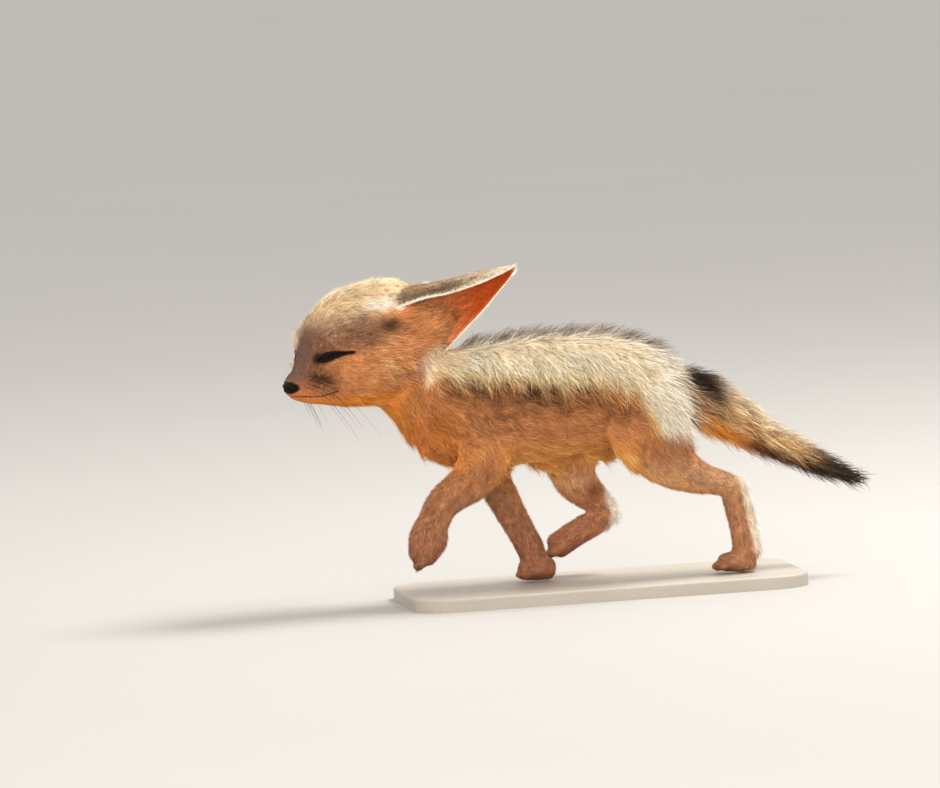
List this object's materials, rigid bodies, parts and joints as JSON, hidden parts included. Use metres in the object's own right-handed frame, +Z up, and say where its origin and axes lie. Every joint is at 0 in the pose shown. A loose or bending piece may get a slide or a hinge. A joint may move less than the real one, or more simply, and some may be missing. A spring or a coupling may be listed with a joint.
{
  "type": "fennec fox",
  "caption": "Life-size young fennec fox in mid stride, head low, eyes nearly shut and ears swept back, standing on a flat display base",
  "frame": {"origin": "centre of the underside of the display base", "axes": "-X is the way the fox walks, -Y is its left side, +Z is up"},
  "size_m": [0.3581, 0.1273, 0.2008],
  "materials": {
    "body_coat": "short sandy fur",
    "mantle_coat": "long cream fur in locks",
    "dark_coat": "dark brown and black fur",
    "ear_skin": "thin pink skin under fine fur",
    "nose_leather": "satin",
    "eye": "gloss",
    "base_paint": "plain matt paint"
  },
  "bodies": {
    "root": {"head": "body_coat", "upper_arm_left": "body_coat", "upper_arm_right": "body_coat", "forearm_left": "body_coat", "forearm_right": "body_coat", "forepaw_left": "body_coat", "forepaw_right": "body_coat", "thigh_left": "body_coat", "thigh_right": "body_coat", "shank_left": "body_coat", "shank_right": "body_coat", "hindpaw_left": "body_coat", "hindpaw_right": "body_coat", "tail_middle": "body_coat", "neck": "mantle_coat", "torso_front": "mantle_coat", "torso_rear": "mantle_coat", "tail_base": "dark_coat", "tail_tip": "dark_coat", "ear_left": "ear_skin", "ear_right": "ear_skin", "nose": "nose_leather", "eye_left": "eye", "eye_right": "eye", "stand_base": "base_paint"}
  },
  "joints": []
}
